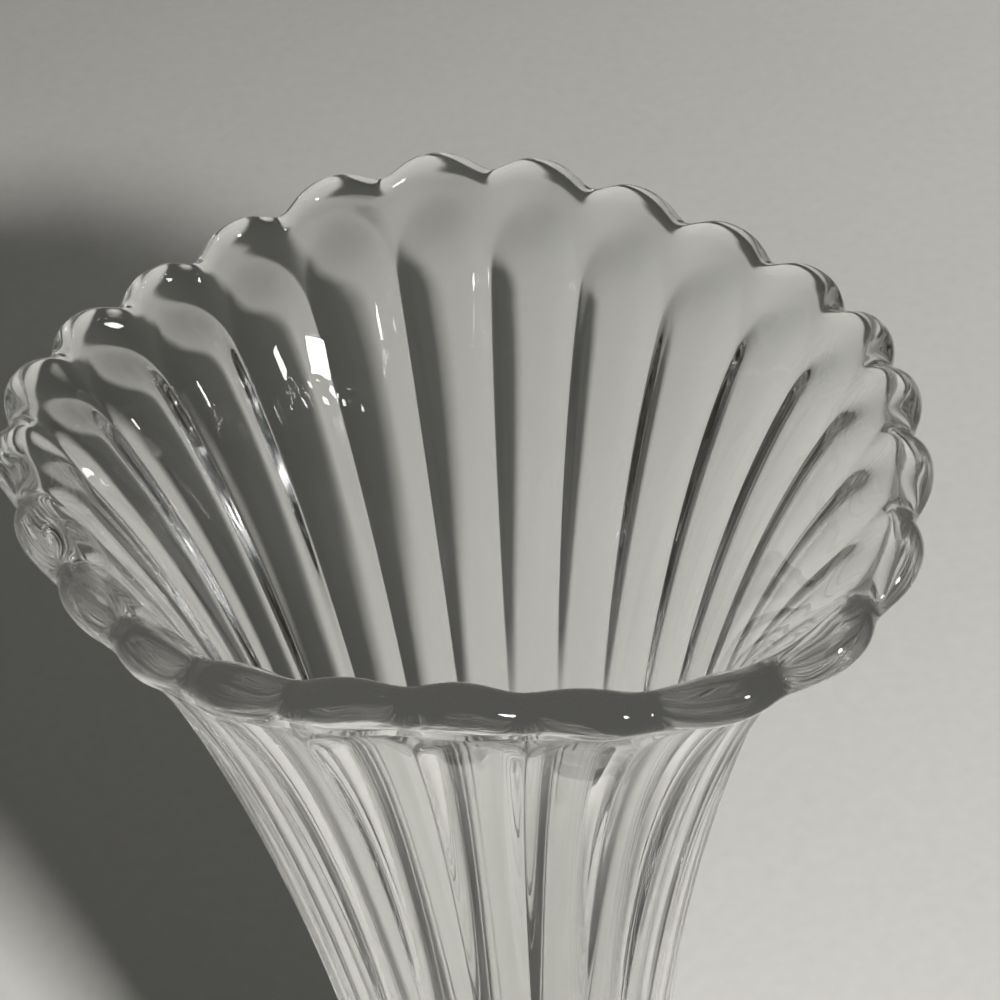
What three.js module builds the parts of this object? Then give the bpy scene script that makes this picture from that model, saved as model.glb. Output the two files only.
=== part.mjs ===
// Swung vase of clear pressed glass: a round foot, a solid base, a fluted body drawn out tall and slim,
// and a wide flared mouth whose fire-polished rim runs in scallops, one over each flute.
// The glass is one piece. Its zones are modelled as closed bodies that meet on level planes.
import * as THREE from "three";

// Driving dimensions, in millimetres and degrees.
// The origin is the centre of the foot's underside, and +Z is up.

// Heights of the zones, from the foot's underside to the notches of the rim.
const FOOT_HEIGHT = 10;
const BASE_HEIGHT = 16;
const LOWER_BODY_HEIGHT = 84;
const COLUMN_HEIGHT = 80;
const FLARE_HEIGHT = 60;
const MOUTH_HEIGHT = 34;
const RIM_HEIGHT = 16;

// Outside of the foot, and the fillet by which the base rises from it.
const FOOT_RADIUS = 42;
const FOOT_ROUND = 3.6;
const FOOT_ROUND_END = 75;
const FILLET_REACH = 7;
const FILLET_HEIGHT = 4;

// Outside of the body, over the ribs between the flutes.
const NECK_RADIUS = 27.5;
const BELLY_RADIUS = 30.5;
const BELLY_RISE = 22;
const COLUMN_RADIUS = 20.7;
const MOUTH_RADIUS = 64.4;
const FLARE_POWER = 2.23;
const LIP_POWER = 12;
const LIP_SHARE = 0.2;

// Thickness of the glass, from the ribs to the smooth inside, and the rounded floor of the hollow.
const WALL = 5.6;
const BASE_WALL = 9;
const FLOOR_RADIUS = 9;
const FLOOR_ROUND = 14;

// Flutes, at equal angles, with narrow ribs between them. Their depth is a share of the radius. The width of
// a rib's flank and of the fillet at its foot are shares of half the pitch. Each flute ends in an arch.
const FLUTE_COUNT = 24;
const FLUTE_DEPTH = 0.03;
const RIB_FLANK = 0.4;
const RIB_FILLET = 0.1;
const ARCH_DROP = 4;
const ARCH_HEIGHT = 9;

// Over each flute the wall bulges into a lobe, on which the rounded edge rises.
const LOBE_RUN = 16;
const LOBE_RELIEF = 1;
const LOBE_RISE = 1.7;

// The mouth is opened by hand, so it is off the axis, oval and a little cornered, by a wave of three and one
// of five corners. Its edge tilts, and it swings up and down four times on its way round.
const DRIFT = 2.6;
const DRIFT_DIRECTION = 11;
const OVAL = 2.5;
const OVAL_DIRECTION = -46;
const TRIANGLE = 1.4;
const TRIANGLE_DIRECTION = -39;
const PENTAGON = 1.6;
const PENTAGON_DIRECTION = 26;
const TILT = 2;
const TILT_DIRECTION = 62;
const SWING = 1.5;
const SWING_DIRECTION = -11;

// Fineness of the faces: where the outline of a flute has its points, in shares of the pitch from its
// middle, and the number of steps along each curve.
const FLUTE_POINTS = [0, 0.3, 0.42, 0.5, 0.58, 0.7];
const FOOT_STEPS = 4;
const BASE_STEPS = 4;
const BODY_STEPS = 7;
const FLOOR_STEPS = 3;
const COLUMN_STEPS = 2;
const FLARE_STEPS = 3;
const MOUTH_STEPS = 4;
const LIP_STEPS = 5;
const EDGE_STEPS = 6;

// Colour and finish of the glass.
const GLASS = { color: 0xe6eae6, roughness: 0.04, metalness: 0, transparent: true, opacity: 0.35 };

// Levels at which the zones meet.
const footTop = FOOT_HEIGHT;
const baseTop = footTop + BASE_HEIGHT;
const lowerBodyTop = baseTop + LOWER_BODY_HEIGHT;
const columnTop = lowerBodyTop + COLUMN_HEIGHT;
const flareTop = columnTop + FLARE_HEIGHT;
const mouthTop = flareTop + MOUTH_HEIGHT;
const rimTop = mouthTop + RIM_HEIGHT;
const bellyLevel = baseTop + BELLY_RISE;

const radians = THREE.MathUtils.degToRad;
const lerp = THREE.MathUtils.lerp;
const clamp = THREE.MathUtils.clamp;

// Smooth step from 0 to 1 as a level rises from low to high.
function ease(level, low, high) {
  const share = clamp((level - low) / (high - low), 0, 1);
  return (1 - Math.cos(Math.PI * share)) / 2;
}

// Evenly spaced values from first to last, both included.
function spread(first, last, steps) {
  return Array.from({ length: steps + 1 }, (_, i) => lerp(first, last, i / steps));
}

// Cosine of the angle from a direction given in degrees, counted a number of times round the vase.
function wave(angle, direction, times) {
  return Math.cos(times * (angle - radians(direction)));
}

// Stations round the vase. Across is 0 in the middle of a flute and 1 on a rib, and lobe is the height of
// the scallop, from 1 over a flute to 0 in a notch.
const pitch = (2 * Math.PI) / FLUTE_COUNT;
const stations = [];
for (let flute = 0; flute < FLUTE_COUNT; flute += 1) {
  for (const share of FLUTE_POINTS) {
    const angle = (flute + share) * pitch;
    const across = 1 - Math.abs(1 - 2 * share);
    stations.push({ angle, across, lobe: 1 - across ** 2 });
  }
}

// How far a level lies up the flare, from 0 at the column to 1 at the rim.
function flareShare(level) {
  return Math.max((level - lowerBodyTop) / (rimTop - lowerBodyTop), 0);
}

// How far the flare has opened at a level, with the lip that turns out near the rim.
function opening(level) {
  const share = flareShare(level);
  return lerp(share ** FLARE_POWER, share ** LIP_POWER, LIP_SHARE);
}

// Outside radius over the ribs at a level above the foot.
function crestRadius(level) {
  const fillet = FILLET_REACH * Math.exp((footTop - level) / FILLET_HEIGHT);
  const swell = lerp(NECK_RADIUS, BELLY_RADIUS, ease(level, footTop, bellyLevel));
  const body = lerp(swell, COLUMN_RADIUS, ease(level, bellyLevel, lowerBodyTop));
  return fillet + lerp(body, MOUTH_RADIUS, opening(level));
}

// Lean of the wall from upright at a level.
function lean(level) {
  const span = 0.5;
  return Math.atan((crestRadius(level + span) - crestRadius(level - span)) / (2 * span));
}

// Thickness of the wall measured level, which is more than its true thickness where the wall leans.
function wallAcross(level) {
  const wall = lerp(BASE_WALL, WALL, ease(level, bellyLevel, lowerBodyTop));
  return wall / Math.cos(lean(level));
}

// Radius of the hollow at a level, with its rounded floor.
function hollowRadius(level) {
  const full = crestRadius(level) - wallAcross(level);
  const share = clamp((level - baseTop) / FLOOR_ROUND, 0, 1);
  return lerp(FLOOR_RADIUS, full, Math.sqrt(share * (2 - share)));
}

// Rise of the rim at a station above the level of an even mouth.
function sway(station) {
  const swing = SWING * wave(station.angle, SWING_DIRECTION, 4);
  return swing - TILT * wave(station.angle, TILT_DIRECTION, 1);
}

// Level at which an even mouth would be as wide as the swaying one is at this level.
function settled(station, level) {
  return level - sway(station) * flareShare(level) ** 4;
}

// Level of the middle of the rounded edge at a station, for a lobe of a given height.
function edgeLevel(station, lobe) {
  return rimTop - WALL / 2 + LOBE_RISE * lobe + sway(station);
}

// Height of a rib at a distance from its crest, both in shares of half the pitch.
function ribHeight(distance) {
  return RIB_FILLET * Math.log1p(Math.exp((RIB_FLANK - distance) / RIB_FILLET));
}

// Depth of the flutes. They run in over the base and end in arches below the rim.
function fluteDepth(station, level) {
  const archFoot = edgeLevel(station, 1) - ARCH_DROP - ARCH_HEIGHT;
  const up = Math.max(level - archFoot, 0) / ARCH_HEIGHT;
  const inward = Math.max(1 - Math.hypot(station.across, up), 0);
  const share = (ribHeight(0) - ribHeight(inward)) / (ribHeight(0) - ribHeight(1));
  return ease(level, footTop, baseTop) * FLUTE_DEPTH * crestRadius(level) * share;
}

// Departure of the wall from a true circle: the mouth is off the axis, oval, cornered and lobed.
function wander(station, level) {
  const drift = DRIFT * wave(station.angle, DRIFT_DIRECTION, 1);
  const oval = OVAL * wave(station.angle, OVAL_DIRECTION, 2);
  const triangle = TRIANGLE * wave(station.angle, TRIANGLE_DIRECTION, 3);
  const pentagon = PENTAGON * wave(station.angle, PENTAGON_DIRECTION, 5);
  const notch = LOBE_RELIEF * (1 - station.lobe) * ease(level, rimTop - LOBE_RUN, rimTop);
  return opening(level) ** 2 * (drift + oval + triangle + pentagon) - notch;
}

function outsideRadius(station, level) {
  return crestRadius(settled(station, level)) + wander(station, level) - fluteDepth(station, level);
}

function insideRadius(station, level) {
  return hollowRadius(settled(station, level)) + wander(station, level);
}

function pointAt(station, radius, level) {
  return new THREE.Vector3(radius * Math.cos(station.angle), radius * Math.sin(station.angle), level);
}

// Plain round ring of points.
function plainRing(radius, level) {
  return stations.map((station) => pointAt(station, radius, level));
}

// Ring of points on the fluted outside.
function outsideRing(level) {
  return stations.map((station) => pointAt(station, outsideRadius(station, level), level));
}

// Ring of points on the smooth inside.
function insideRing(level) {
  return stations.map((station) => pointAt(station, insideRadius(station, level), level));
}

// Point of the rounded edge at a station. Turn goes round its section, from the outside to the inside.
function edgePoint(station, turn) {
  const middle = edgeLevel(station, station.lobe);
  const outside = outsideRadius(station, middle);
  const inside = insideRadius(station, middle);
  const tilt = lean(settled(station, middle));
  const round = ((outside - inside) / 2) * Math.cos(tilt);
  const way = tilt + radians(turn);
  return pointAt(station, (outside + inside) / 2 + round * Math.sin(way), middle + round * Math.cos(way));
}

function edgeRing(turn) {
  return stations.map((station) => edgePoint(station, turn));
}

// Rings of points on one side of the lip, from the mouth's top up to where the edge begins at a turn.
function lipRings(turn, steps, radiusAt) {
  return spread(0, 1, steps).slice(0, -1).map((share) => stations.map((station) => {
    const level = lerp(mouthTop, edgePoint(station, turn).z, share);
    return pointAt(station, radiusAt(station, level), level);
  }));
}

// Faces of the strip between ring number low and ring number high, seen from the glass's outside.
function strip(low, high) {
  const count = stations.length;
  return stations.flatMap((_, i) => {
    const next = (i + 1) % count;
    const a = low * count + i;
    const b = low * count + next;
    const c = high * count + next;
    const d = high * count + i;
    return [a, b, c, a, c, d];
  });
}

function meshGeometry(points, faces) {
  const geometry = new THREE.BufferGeometry().setFromPoints(points);
  geometry.setIndex(faces);
  geometry.computeVertexNormals();
  return geometry;
}

// Hollow body: rings that go up the outside, over the top and down the inside, back to the first.
function hollowBody(rings) {
  const faces = rings.flatMap((_, i) => strip(i, (i + 1) % rings.length));
  return meshGeometry(rings.flat(), faces);
}

// Solid body: rings that go up the outside, closed by a flat face below and one above.
function solidBody(rings) {
  const count = stations.length;
  const last = rings.length - 1;
  const below = rings.length * count;
  const above = below + 1;
  const centres = [rings[0], rings[last]].map((ring) => new THREE.Vector3(0, 0, ring[0].z));
  const sides = spread(0, last - 1, last - 1).flatMap((i) => strip(i, i + 1));
  const ends = stations.flatMap((_, i) => {
    const next = (i + 1) % count;
    return [below, next, i, above, last * count + i, last * count + next];
  });
  return meshGeometry([...rings.flat(), ...centres], [...sides, ...ends]);
}

// Foot: a flat underside, a rounded edge and a top that slopes up to the base.
function footGeometry() {
  const edge = spread(-90, FOOT_ROUND_END, FOOT_STEPS).map((turn) => {
    const radius = FOOT_RADIUS - FOOT_ROUND + FOOT_ROUND * Math.cos(radians(turn));
    return plainRing(radius, FOOT_ROUND + FOOT_ROUND * Math.sin(radians(turn)));
  });
  return solidBody([...edge, outsideRing(footTop)]);
}

// Base: the solid glass under the hollow, on whose fillet the flutes run in.
function baseGeometry() {
  return solidBody(spread(footTop, baseTop, BASE_STEPS).map(outsideRing));
}

// Lower body: the belly and its taper to the column, round the floor of the hollow.
function lowerBodyGeometry() {
  const floorTop = baseTop + FLOOR_ROUND;
  return hollowBody([
    ...spread(baseTop, lowerBodyTop, BODY_STEPS).map(outsideRing),
    ...spread(lowerBodyTop, floorTop, BODY_STEPS - 1).map(insideRing),
    ...spread(floorTop, baseTop, FLOOR_STEPS).slice(1).map(insideRing),
  ]);
}

// Tube of fluted wall between two levels, as the column and the flare are.
function wallGeometry(bottom, top, steps) {
  return hollowBody([
    ...spread(bottom, top, steps).map(outsideRing),
    ...spread(top, bottom, steps).map(insideRing),
  ]);
}

// Rim: the lip above the flutes, with its rounded edge.
function rimGeometry() {
  return hollowBody([
    ...lipRings(90, LIP_STEPS, outsideRadius),
    ...spread(90, -90, EDGE_STEPS).map(edgeRing),
    ...lipRings(-90, LIP_STEPS - 2, insideRadius).reverse(),
  ]);
}

const vase = new THREE.Group();

function addZone(name, geometry) {
  const zone = new THREE.Mesh(geometry, new THREE.MeshStandardMaterial(GLASS));
  zone.name = name;
  vase.add(zone);
}

addZone("foot", footGeometry());
addZone("solid_base", baseGeometry());
addZone("lower_body", lowerBodyGeometry());
addZone("column", wallGeometry(lowerBodyTop, columnTop, COLUMN_STEPS));
addZone("flare", wallGeometry(columnTop, flareTop, FLARE_STEPS));
addZone("mouth", wallGeometry(flareTop, mouthTop, MOUTH_STEPS));
addZone("scalloped_rim", rimGeometry());

export default vase;
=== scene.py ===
"""Swung vase of clear pressed glass on a pale sheet, seen from above its mouth."""
import math

import bpy
import numpy as np
from mathutils import Matrix, Vector


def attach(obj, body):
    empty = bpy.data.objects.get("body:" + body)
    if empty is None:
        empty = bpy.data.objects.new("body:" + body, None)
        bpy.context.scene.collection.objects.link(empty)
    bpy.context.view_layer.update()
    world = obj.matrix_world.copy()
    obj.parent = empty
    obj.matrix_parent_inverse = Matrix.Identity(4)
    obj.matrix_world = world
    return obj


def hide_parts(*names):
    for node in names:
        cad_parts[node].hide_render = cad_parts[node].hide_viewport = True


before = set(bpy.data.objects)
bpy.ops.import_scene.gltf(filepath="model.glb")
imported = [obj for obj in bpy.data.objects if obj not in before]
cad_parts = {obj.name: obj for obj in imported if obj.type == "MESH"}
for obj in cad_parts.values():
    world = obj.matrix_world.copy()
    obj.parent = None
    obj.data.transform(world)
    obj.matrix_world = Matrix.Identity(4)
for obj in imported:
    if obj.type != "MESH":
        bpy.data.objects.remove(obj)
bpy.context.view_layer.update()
scene = bpy.context.scene

# Sizes of the vase in millimetres and degrees, as in the CAD.
FOOT_TOP, BASE_TOP, BODY_TOP, MOUTH_TOP, RIM_TOP = 10.0, 26.0, 110.0, 284.0, 300.0
FOOT_RADIUS, FOOT_ROUND, FOOT_ROUND_END = 42.0, 3.6, 75.0
FILLET_REACH, FILLET_HEIGHT = 7.0, 4.0
NECK_RADIUS, BELLY_RADIUS, BELLY_LEVEL = 27.5, 30.5, 48.0
COLUMN_RADIUS, MOUTH_RADIUS = 20.7, 64.4
FLARE_POWER, LIP_POWER, LIP_SHARE = 2.23, 12, 0.2
WALL, BASE_WALL = 5.6, 9.0
FLOOR_RADIUS, FLOOR_ROUND = 9.0, 14.0

# The mouth is opened by hand, so it is off the axis, oval and a little cornered, by a wave of three and one
# of five corners. Its edge tilts, and it swings up and down four times on its way round.
DRIFT, DRIFT_DIRECTION = 2.6, 11
OVAL, OVAL_DIRECTION = 2.5, -46
TRIANGLE, TRIANGLE_DIRECTION = 1.4, -39
PENTAGON, PENTAGON_DIRECTION = 1.6, 26
TILT, TILT_DIRECTION = 2.0, 62
SWING, SWING_DIRECTION = 1.5, -11
SWAY_POWER = 4

# Flutes, with ribs between them. Their depth is a share of the radius, and the sizes of a rib are shares of
# half the pitch. On the stretched body the flutes keep only a share of their depth. Each ends in an arch.
FLUTES = 24
FLUTE_DEPTH, FLUTE_ROUND = 0.036, 0.5
RIB_FLANK, RIB_FILLET, RIB_CREST = 0.4, 0.1, 0.06
STRETCHED_SHARE, STRETCHED_TOP, FULL_FLUTES = 0.2, 190.0, 285.0
ARCH_DROP, ARCH_HEIGHT = 4.0, 9.0

# Lobes of the rim, and how far the lip swells on each side of the wall, on the lobes and in the notches.
LOBE_RUN, LOBE_RELIEF, LOBE_RISE = 16.0, 0.2, 1.3
LOBE_POWER, NOTCH_ROUND = 3, 0.3
LOBE_BEAD, NOTCH_BEAD, BEAD_RUN = 0.8, -0.1, 9.0

# Fineness of the mesh: stations in each flute, crowded at the ribs, and numbers of rings, which lie closer
# together above the fine level.
PER_FLUTE, CROWDING = 26, 0.6
UNDERSIDE_RADIUS, FINE_LEVEL = 20.0, 205.0
FOOT_RINGS, BASE_RINGS, BODY_RINGS, MOUTH_RINGS, LIP_RINGS = 9, 9, 23, 30, 19
EDGE_RINGS = 17
INNER_LIP_RINGS, INNER_MOUTH_RINGS, INNER_BODY_RINGS, FLOOR_RINGS = 10, 25, 17, 8

MILLIMETRE = 0.001


def ease(x, low, high):
    """Smooth step from 0 to 1 as x rises from low to high."""
    share = np.clip((x - low) / (high - low), 0, 1)
    return (1 - np.cos(np.pi * share)) / 2


def mix(a, b, share):
    return a + (b - a) * share


def rounded(x, soft):
    """The distance x, rounded off near nought."""
    return np.sqrt(x * x + soft * soft) - soft


# Stations round the vase, closer together near the ribs. Off_rib is 0 on a rib and 0.5 in the middle of a
# flute, and across runs the other way, from 1 to 0.
steps = np.arange(PER_FLUTE) / PER_FLUTE
shares = steps + CROWDING * np.sin(2 * np.pi * steps) / (2 * np.pi)
pitch = 2 * math.pi / FLUTES
angle = np.concatenate([(flute + shares) * pitch for flute in range(FLUTES)])
off_rib = np.tile(np.abs(shares - 0.5), FLUTES)
across = 1 - 2 * off_rib


def wave(size, direction, times):
    """Wave of a size that runs a number of times round the vase, with a crest at a direction in degrees."""
    return size * np.cos(times * (angle - math.radians(direction)))


def flare_share(level):
    return np.maximum((level - BODY_TOP) / (RIM_TOP - BODY_TOP), 0)


def opening(level):
    """How far the flare has opened at a level."""
    share = flare_share(level)
    return mix(share ** FLARE_POWER, share ** LIP_POWER, LIP_SHARE)


def crest_radius(level):
    """Outside radius over the rib crests."""
    fillet = FILLET_REACH * np.exp((FOOT_TOP - level) / FILLET_HEIGHT)
    swell = mix(NECK_RADIUS, BELLY_RADIUS, ease(level, FOOT_TOP, BELLY_LEVEL))
    body = mix(swell, COLUMN_RADIUS, ease(level, BELLY_LEVEL, BODY_TOP))
    return fillet + mix(body, MOUTH_RADIUS, opening(level))


def lean(level):
    """Lean of the wall from upright, over a millimetre of height."""
    return np.arctan(crest_radius(level + 0.5) - crest_radius(level - 0.5))


def hollow_radius(level):
    """Radius of the smooth inside, with its rounded floor."""
    wall = mix(BASE_WALL, WALL, ease(level, BELLY_LEVEL, BODY_TOP)) / np.cos(lean(level))
    share = np.clip((level - BASE_TOP) / FLOOR_ROUND, 0, 1)
    return mix(FLOOR_RADIUS, crest_radius(level) - wall, np.sqrt(share * (2 - share)))


# Lobes of the rim, one over each flute, the level of the middle of the rounded edge, and the tops of the
# arches in which the flutes end.
lobe = 1 - (1 - rounded(2 * off_rib, NOTCH_ROUND) / rounded(1.0, NOTCH_ROUND)) ** LOBE_POWER
sway = wave(SWING, SWING_DIRECTION, 4) - wave(TILT, TILT_DIRECTION, 1)
edge_level = RIM_TOP - WALL / 2 + LOBE_RISE * lobe + sway
arch_top = RIM_TOP - WALL / 2 + LOBE_RISE + sway - ARCH_DROP


def shift(level):
    """Departure of the wall from a true circle: the mouth is off centre, oval, cornered and lobed."""
    off_round = wave(DRIFT, DRIFT_DIRECTION, 1) + wave(OVAL, OVAL_DIRECTION, 2)
    cornered = off_round + wave(TRIANGLE, TRIANGLE_DIRECTION, 3) + wave(PENTAGON, PENTAGON_DIRECTION, 5)
    lobed = ease(level, RIM_TOP - LOBE_RUN, RIM_TOP) * LOBE_RELIEF * (1 - lobe)
    return opening(level) ** 2 * cornered - lobed


def rib(distance):
    """Height of a rib at a distance from its crest, both in shares of half the pitch."""
    return RIB_FILLET * np.log1p(np.exp((RIB_FLANK - rounded(distance, RIB_CREST)) / RIB_FILLET))


def flute_depth(level):
    """Depth of the flutes: shallow on the stretched body, run out over the base, arched below the rim."""
    up = np.maximum(level - arch_top + ARCH_HEIGHT, 0) / ARCH_HEIGHT
    inward = np.maximum(1 - np.hypot(across, up), 0)
    flank = (rib(0.0) - rib(inward)) / (rib(0.0) - rib(1.0))
    share = mix(flank, inward * (2 - inward), FLUTE_ROUND)
    full = mix(STRETCHED_SHARE, 1.0, ease(level, STRETCHED_TOP, FULL_FLUTES))
    return ease(level, FOOT_TOP, BASE_TOP) * FLUTE_DEPTH * full * crest_radius(level) * share


def settled(level):
    """Level at which the plain flare is as wide as the swaying wall is at this level."""
    return level - sway * flare_share(level) ** SWAY_POWER


def bead(level):
    """How far the fire-polished lip swells on either side of the wall, mostly on the lobes."""
    swell = mix(NOTCH_BEAD, LOBE_BEAD, ease(off_rib, 0.0, 0.5))
    return swell * ease(settled(level), RIM_TOP - BEAD_RUN, RIM_TOP - WALL / 2)


def outside(level):
    return crest_radius(settled(level)) + shift(level) - flute_depth(level) + bead(level)


def inside(level):
    return hollow_radius(settled(level)) + shift(level) - bead(level)


edge_lean = lean(settled(edge_level))
edge_round = (outside(edge_level) - inside(edge_level)) / 2 * np.cos(edge_lean)
edge_radius = (outside(edge_level) + inside(edge_level)) / 2


def edge(turn):
    """Radius and level of the rounded edge at a turn of its section, from 90 outside to -90 inside."""
    way = edge_lean + math.radians(turn)
    return edge_radius + edge_round * np.sin(way), edge_level + edge_round * np.cos(way)


def ring(radius, level):
    level = level + 0 * angle
    return np.stack([radius * np.cos(angle), radius * np.sin(angle), level], -1)


def foot_rings():
    """Rings of the flat underside and the rounded edge of the foot."""
    rings = [ring(UNDERSIDE_RADIUS, 0.0)]
    for turn in np.radians(np.linspace(-90, FOOT_ROUND_END, FOOT_RINGS)):
        radius = FOOT_RADIUS - FOOT_ROUND + FOOT_ROUND * math.cos(turn)
        rings.append(ring(radius, FOOT_ROUND + FOOT_ROUND * math.sin(turn)))
    return rings


def lip_rings(radius_at, turn, count):
    """Rings on one side of the lip, between the mouth's top and the edge, which begins at a turn."""
    top = edge(turn)[1]
    levels = [mix(MOUTH_TOP, top, share) for share in np.linspace(0, 1, count)[1:-1]]
    return [ring(radius_at(level), level) for level in levels]


def vase_rings():
    """Rings of points from the middle of the underside, up the outside and down into the hollow."""
    outer = np.concatenate([
        np.linspace(FOOT_TOP, BASE_TOP, BASE_RINGS)[:-1],
        np.linspace(BASE_TOP, FINE_LEVEL, BODY_RINGS)[:-1],
        np.linspace(FINE_LEVEL, MOUTH_TOP, MOUTH_RINGS),
    ])
    floor = BASE_TOP + FLOOR_ROUND * (1 - np.sin(np.linspace(0, np.pi / 2, FLOOR_RINGS)))
    inner = np.concatenate([
        np.linspace(MOUTH_TOP, FINE_LEVEL, INNER_MOUTH_RINGS),
        np.linspace(FINE_LEVEL, floor[0], INNER_BODY_RINGS)[1:],
        floor[1:],
    ])
    return [
        *foot_rings(),
        *[ring(outside(level), level) for level in outer],
        *lip_rings(outside, 90, LIP_RINGS),
        *[ring(*edge(turn)) for turn in np.linspace(90, -90, EDGE_RINGS)],
        *reversed(lip_rings(inside, -90, INNER_LIP_RINGS)),
        *[ring(inside(level), level) for level in inner],
    ]


def smooth_mesh(name, points, faces):
    mesh = bpy.data.meshes.new(name)
    mesh.from_pydata(points, [], faces)
    mesh.polygons.foreach_set("use_smooth", [True] * len(mesh.polygons))
    mesh.update()
    return mesh


def closed_mesh(name, rings):
    """Closed mesh over rings of equal length, with a fan of faces over the first and the last one."""
    count = len(rings[0])
    grid = np.arange(len(rings) * count).reshape(len(rings), count)
    beside = np.roll(grid, -1, axis=1)
    quads = np.stack([grid[:-1], beside[:-1], beside[1:], grid[1:]], -1).reshape(-1, 4)
    below = np.full(count, len(rings) * count)
    above = below + 1
    fans = np.concatenate([
        np.stack([below, beside[0], grid[0]], -1),
        np.stack([above, grid[-1], beside[-1]], -1),
    ])
    centres = np.array([(0, 0, rings[0][0][2]), (0, 0, rings[-1][0][2])])
    points = np.concatenate([*rings, centres]) * MILLIMETRE
    return smooth_mesh(name, points.tolist(), quads.tolist() + fans.tolist())


def add(name, data):
    item = bpy.data.objects.new(name, data)
    scene.collection.objects.link(item)
    return item


def add_node(tree, kind, values=None, **settings):
    """New shader node of a kind, with its settings and the values of its sockets."""
    node = tree.nodes.new("ShaderNode" + kind)
    for name, value in settings.items():
        setattr(node, name, value)
    for socket, value in (values or {}).items():
        node.inputs[socket].default_value = value
    return node


def calculate(tree, operation, *terms):
    """Result of an operation on terms that are sockets or numbers."""
    node = add_node(tree, "Math", operation=operation)
    for socket, term in zip(node.inputs, terms):
        if isinstance(term, bpy.types.NodeSocket):
            tree.links.new(term, socket)
        else:
            socket.default_value = term
    return node.outputs["Value"]


def ramp(tree, value, span, results, kind="SMOOTHSTEP"):
    """Change from the first to the second result as the value passes over the span."""
    ends = {"From Min": span[0], "From Max": span[1], "To Min": results[0], "To Max": results[1]}
    node = add_node(tree, "MapRange", ends, interpolation_type=kind)
    tree.links.new(value, node.inputs["Value"])
    return node.outputs["Result"]


def noise(tree, vector, scale, detail):
    node = add_node(tree, "TexNoise", {"Scale": scale, "Detail": detail})
    tree.links.new(vector, node.inputs["Vector"])
    return node.outputs["Fac"]


def bump(tree, height, strength, distance):
    node = add_node(tree, "Bump", {"Strength": strength, "Distance": distance})
    tree.links.new(height, node.inputs["Height"])
    return node.outputs["Normal"]


def new_material(name):
    """New material, with its node tree and the sockets of its shader."""
    made = bpy.data.materials.new(name)
    made.use_nodes = True
    return made, made.node_tree, made.node_tree.nodes["Principled BSDF"].inputs


def glass_material():
    made, tree, shader = new_material("clear_glass")
    shader["Base Color"].default_value = (0.955, 0.96, 0.95, 1)
    shader["IOR"].default_value = 1.5
    shader["Transmission Weight"].default_value = 1.0
    place = add_node(tree, "TexCoord").outputs["Object"]

    # Faint draw lines, long up the vase and narrow round it.
    stretch = add_node(tree, "Mapping", {"Scale": (1.0, 1.0, 0.05)})
    tree.links.new(place, stretch.inputs["Vector"])
    lines = noise(tree, stretch.outputs["Vector"], scale=420.0, detail=2.0)
    tree.links.new(bump(tree, lines, strength=0.01, distance=0.0003), shader["Normal"])

    # Scuffed glass under the foot, polished everywhere else.
    apart = add_node(tree, "SeparateXYZ")
    tree.links.new(place, apart.inputs["Vector"])
    under = ramp(tree, apart.outputs["Z"], span=(0.0, 0.0006), results=(0.35, 0.0), kind="LINEAR")
    scuffs = noise(tree, place, scale=900.0, detail=2.0)
    tree.links.new(calculate(tree, "MULTIPLY", under, scuffs), shader["Roughness"])
    return made


vase = add("vase_glass", closed_mesh("vase_glass", vase_rings()))
vase.data.materials.append(glass_material())
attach(vase, "root")
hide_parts("foot", "solid_base", "lower_body", "column", "flare", "mouth", "scalloped_rim")

# Pale sheet, in metres: a level floor that curves up into a backdrop well behind the vase. Through the
# glass the far sheet is only a share as pale as it is for the camera.
SHEET_SIDE, SHEET_FRONT = 4.0, -3.0
FLOOR_REACH, BEND, BACK_TOP = 1.6, 0.5, 3.0
BEND_POINTS = 13
SEEN_THROUGH_GLASS = 0.4


def sheet_mesh():
    profile = [(SHEET_FRONT, 0.0), (0.0, 0.0), (FLOOR_REACH, 0.0)]
    for turn in np.radians(np.linspace(0, 90, BEND_POINTS)[1:]):
        profile.append((FLOOR_REACH + BEND * math.sin(turn), BEND - BEND * math.cos(turn)))
    profile.append((FLOOR_REACH + BEND, BACK_TOP))
    points = [(x, y, z) for y, z in profile for x in (-SHEET_SIDE, SHEET_SIDE)]
    faces = [(2 * i, 2 * i + 1, 2 * i + 3, 2 * i + 2) for i in range(len(profile) - 1)]
    return smooth_mesh("paper_sheet", points, faces)


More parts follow.
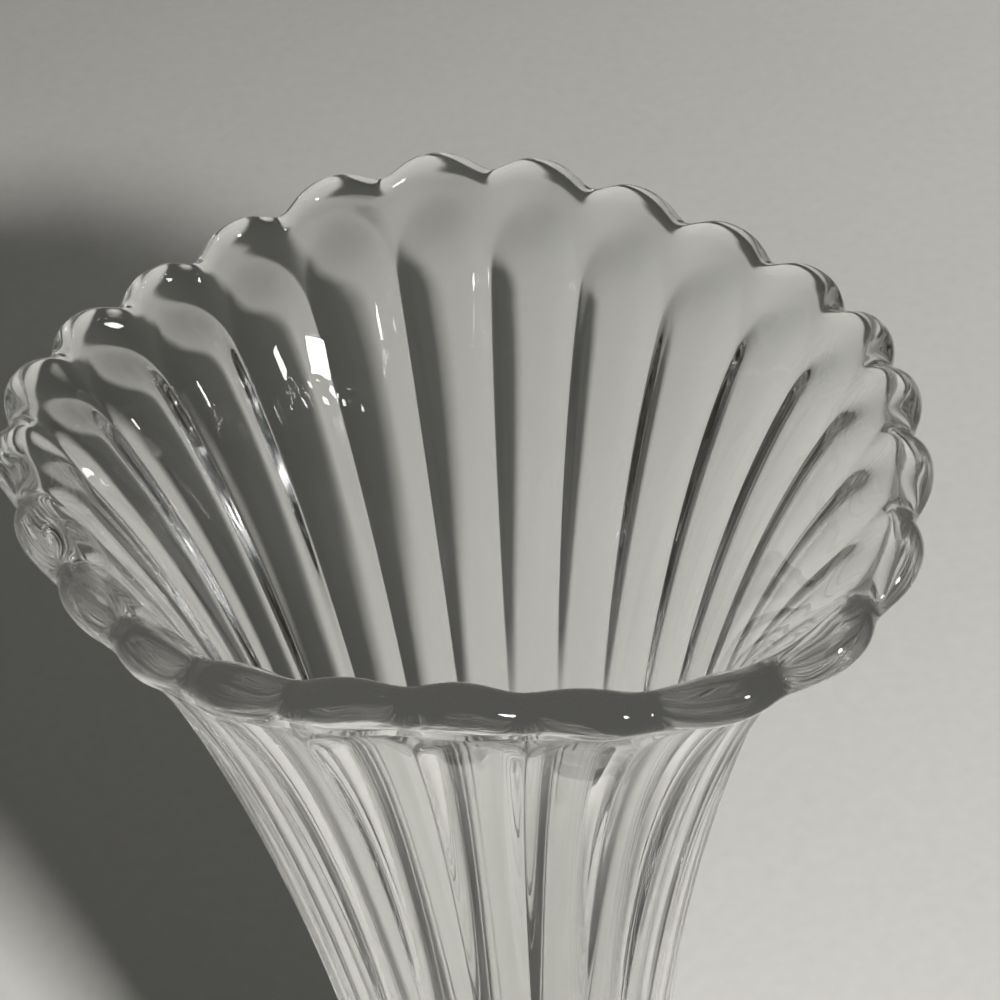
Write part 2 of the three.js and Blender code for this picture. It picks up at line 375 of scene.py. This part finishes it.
def paper_material():
    made, tree, shader = new_material("paper_sheet")
    shader["Roughness"].default_value = 0.85
    shader["Specular IOR Level"].default_value = 0.2
    # Colour of the sheet's painted glow, under the foot and far from the vase.
    shader["Emission Color"].default_value = (1.0, 0.985, 0.93, 1)
    place = add_node(tree, "TexCoord").outputs["Object"]
    path = add_node(tree, "LightPath").outputs
    apart = add_node(tree, "SeparateXYZ")
    tree.links.new(place, apart.inputs["Vector"])
    x, y = apart.outputs["X"], apart.outputs["Y"]

    # Soft clouds in the tone, and a fine grain that also stands out a little.
    clouds = noise(tree, place, scale=9.0, detail=6.0)
    grain = noise(tree, place, scale=260.0, detail=4.0)
    blend = add_node(tree, "Mix", {"Factor": 0.55})
    tree.links.new(clouds, blend.inputs["A"])
    tree.links.new(grain, blend.inputs["B"])
    tone = add_node(tree, "ValToRGB")
    low, high = tone.color_ramp.elements
    low.position = 0.3
    low.color = (0.70, 0.69, 0.655, 1)
    high.position = 0.7
    high.color = (0.76, 0.75, 0.715, 1)
    tree.links.new(blend.outputs["Result"], tone.inputs["Fac"])
    tree.links.new(bump(tree, grain, strength=0.25, distance=0.0002), shader["Normal"])

    # Painted shade: in front and at the right the sheet is painted darker for every ray but the camera's,
    # so the glass sees dark ground there.
    depth = calculate(tree, "SUBTRACT", y, calculate(tree, "MAXIMUM", x, 0.0))
    painted_front_shade = ramp(tree, depth, span=(-0.16, -0.04), results=(0.12, 1.0))
    shaded = add_node(tree, "VectorMath", operation="SCALE")
    tree.links.new(tone.outputs["Color"], shaded.inputs[0])
    tree.links.new(calculate(tree, "MAXIMUM", path["Is Camera Ray"], painted_front_shade), shaded.inputs["Scale"])
    tree.links.new(shaded.outputs["Vector"], shader["Base Color"])

    # Painted light: the sheet glows under the foot, in place of the light that the glass gathers there, and
    # faintly everywhere else, which lifts its shade. Far from the vase the sheet glows to stay pale for the
    # camera, and less so through the glass.
    flat = add_node(tree, "CombineXYZ")
    tree.links.new(x, flat.inputs["X"])
    tree.links.new(y, flat.inputs["Y"])
    length = add_node(tree, "VectorMath", operation="LENGTH")
    tree.links.new(flat.outputs["Vector"], length.inputs[0])
    reach = length.outputs["Value"]
    painted_foot_glow = ramp(tree, reach, span=(0.03, 0.06), results=(0.09, 0.004))
    pale = ramp(tree, reach, span=(0.7, 1.15), results=(0.0, 0.3))
    through = path["Is Transmission Ray"]
    seen = calculate(tree, "MULTIPLY_ADD", through, SEEN_THROUGH_GLASS, path["Is Camera Ray"])
    tree.links.new(calculate(tree, "MULTIPLY_ADD", seen, pale, painted_foot_glow), shader["Emission Strength"])
    return made


sheet = add("paper_sheet", sheet_mesh())
sheet.data.materials.append(paper_material())

# The camera stands a little round the vase, and the lamps are placed from it, in degrees and metres.
TURN = 1.9
MOUTH = Vector((0, 0, RIM_TOP * MILLIMETRE))


def toward(azimuth, elevation):
    """Direction from the mouth. Azimuth counts from the camera's side to the right."""
    turn = math.radians(azimuth + TURN)
    rise = math.radians(elevation)
    flat = math.cos(rise)
    return Vector((math.sin(turn) * flat, -math.cos(turn) * flat, math.sin(rise)))


def lamp(name, azimuth, elevation, distance, size, energy, colour):
    light = bpy.data.lights.new(name, "AREA")
    light.shape = "RECTANGLE"
    light.size, light.size_y = size
    light.energy = energy
    light.color = colour
    way = toward(azimuth, elevation)
    item = add(name, light)
    item.location = MOUTH + way * distance
    item.rotation_euler = (-way).to_track_quat("-Z", "Y").to_euler()
    return item


# The key and the fill light the sheet, and the small glint lamp makes the highlights on the glass.
key = lamp("key_lamp", azimuth=17.5, elevation=36.4, distance=0.64, size=(0.055, 0.035), energy=9.1,
           colour=(1.0, 0.99, 0.97))
fill = lamp("fill_lamp", azimuth=143.0, elevation=4.0, distance=0.93, size=(0.25, 0.25), energy=1.75,
            colour=(0.955, 0.98, 1.0))
for item in (key, fill):
    item.visible_camera = False
    item.visible_glossy = False
    item.visible_transmission = False
glint = lamp("glint_lamp", azimuth=52.5, elevation=14.5, distance=0.7, size=(0.09, 0.12), energy=1.0,
             colour=(1.0, 1.0, 1.0))
glint.visible_diffuse = False

# The room is dark for the glass, and past the sheet the camera sees a pale background.
DARK_ROOM, PALE_ROOM = (0.0155, 0.0142, 0.0095, 1), (0.35, 0.345, 0.325, 1)
world = bpy.data.worlds.new("room")
world.use_nodes = True
room = world.node_tree
shade = add_node(room, "Mix", {"A": DARK_ROOM, "B": PALE_ROOM}, data_type="RGBA")
room.links.new(add_node(room, "LightPath").outputs["Is Camera Ray"], shade.inputs["Factor"])
room.links.new(shade.outputs["Result"], room.nodes["Background"].inputs["Color"])
scene.world = world

# Camera, fitted to the rim and the outlines of the body. The focal length and the place of the mouth's
# middle are in pixels of the picture.
PIXELS, SENSOR = 1000, 36
FOCAL, CENTRE_X, CENTRE_Y = 3580.0, 449.3, 428.3
EYE_DISTANCE, EYE_ELEVATION, ROLL = 0.48, 39.05, 5.97
camera_data = bpy.data.cameras.new("camera")
camera_data.sensor_width = SENSOR
camera_data.lens = SENSOR * FOCAL / PIXELS
camera = add("camera", camera_data)
eye = MOUTH + EYE_DISTANCE * toward(0, EYE_ELEVATION)
look = (MOUTH - eye).to_track_quat("-Z", "Y").to_matrix()
look = look @ Matrix.Rotation(-math.radians(ROLL), 3, "Z")
look = look @ Matrix.Rotation(-math.atan((PIXELS / 2 - CENTRE_X) / FOCAL), 3, "Y")
look = look @ Matrix.Rotation(-math.atan((PIXELS / 2 - CENTRE_Y) / FOCAL), 3, "X")
camera.matrix_world = Matrix.Translation(eye) @ look.to_4x4()
scene.camera = camera

# Light goes through many walls of glass before it reaches the camera.
BOUNCES = 40
cycles = scene.cycles
cycles.use_denoising = True
cycles.max_bounces = BOUNCES
cycles.transmission_bounces = BOUNCES
cycles.glossy_bounces = BOUNCES
cycles.caustics_refractive = False
cycles.caustics_reflective = False
cycles.sample_clamp_indirect = 0.0
scene.view_settings.view_transform = "Standard"
